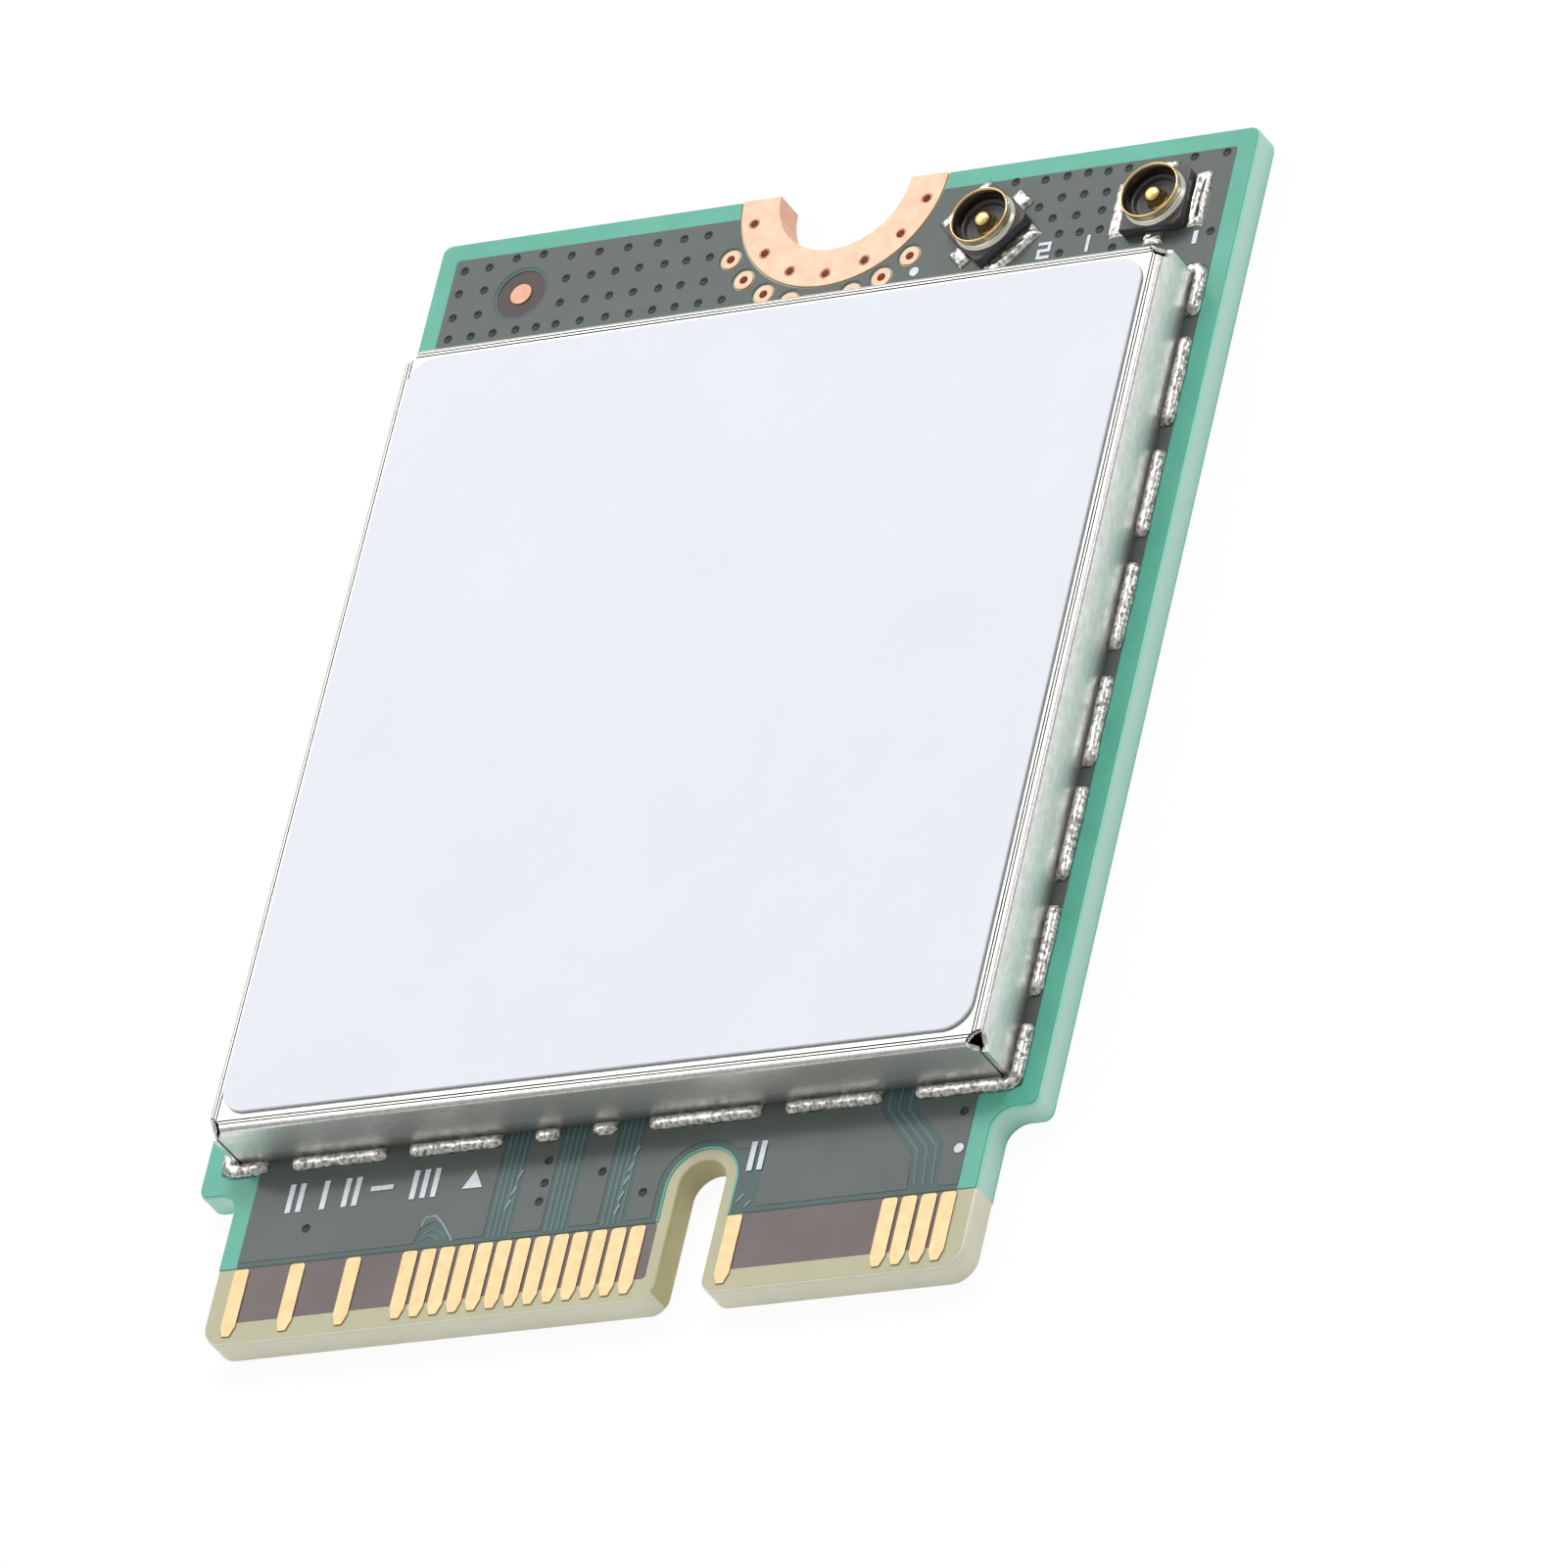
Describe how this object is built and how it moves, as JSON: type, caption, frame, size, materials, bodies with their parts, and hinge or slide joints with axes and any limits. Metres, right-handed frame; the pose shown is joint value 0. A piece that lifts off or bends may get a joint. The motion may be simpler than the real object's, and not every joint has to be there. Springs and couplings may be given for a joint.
{
  "type": "laptop wifi card",
  "caption": "Plug-in radio card: green circuit board with edge contacts, key slot and mounting notch, a shield can with a blank label, and round antenna sockets.",
  "frame": {"origin": "centre of the card's underside", "axes": "+X along the contact row towards pin 1, +Y from the contact edge to the mounting notch, +Z out of the component face"},
  "size_m": [0.022, 0.03, 0.0023],
  "materials": {
    "laminate": "bare glass-fibre laminate, pale edges",
    "mask": "green solder mask, satin",
    "via_cap": "mask sunk over vias",
    "copper": "bare copper with a pale finish",
    "gold": "hard gold plating",
    "can_sheet": "tinned sheet, fine streaked grain",
    "solder": "bright solder",
    "label": "blank label, satin white",
    "socket_base": "charcoal moulding",
    "socket_metal": "gold plating",
    "print": "white print",
    "chip_package": "black moulding",
    "filter_ceramic": "pale ceramic",
    "capacitor_ceramic": "tan ceramic",
    "resistor_ceramic": "dark ceramic",
    "crystal_lid": "plated lid",
    "ferrite": "dark ferrite"
  },
  "bodies": {
    "root": {"circuit_board": "laminate", "solder_mask_top": "mask", "solder_mask_bottom": "mask", "mounting_ring": "copper", "land_vias": "copper", "stitching_vias": "via_cap", "fiducial_mark": "copper", "top_contacts_left": "gold", "top_contacts_right": "gold", "bottom_contacts_left": "gold", "bottom_contacts_right": "gold", "shield_can": "can_sheet", "can_solder": "solder", "can_label": "label", "left_antenna_base": "socket_base", "left_antenna_ring": "socket_metal", "left_antenna_pin": "socket_metal", "left_antenna_solder": "solder", "right_antenna_base": "socket_base", "right_antenna_ring": "socket_metal", "right_antenna_pin": "socket_metal", "right_antenna_solder": "solder", "printed_marks": "print", "radio_chip": "chip_package", "left_front_end_chip": "chip_package", "left_antenna_filter": "filter_ceramic", "right_front_end_chip": "chip_package", "right_antenna_filter": "filter_ceramic", "reference_crystal": "crystal_lid", "memory_chip": "chip_package", "power_inductor": "ferrite", "capacitors": "capacitor_ceramic", "resistors": "resistor_ceramic", "chip_solder": "solder"}
  },
  "joints": []
}
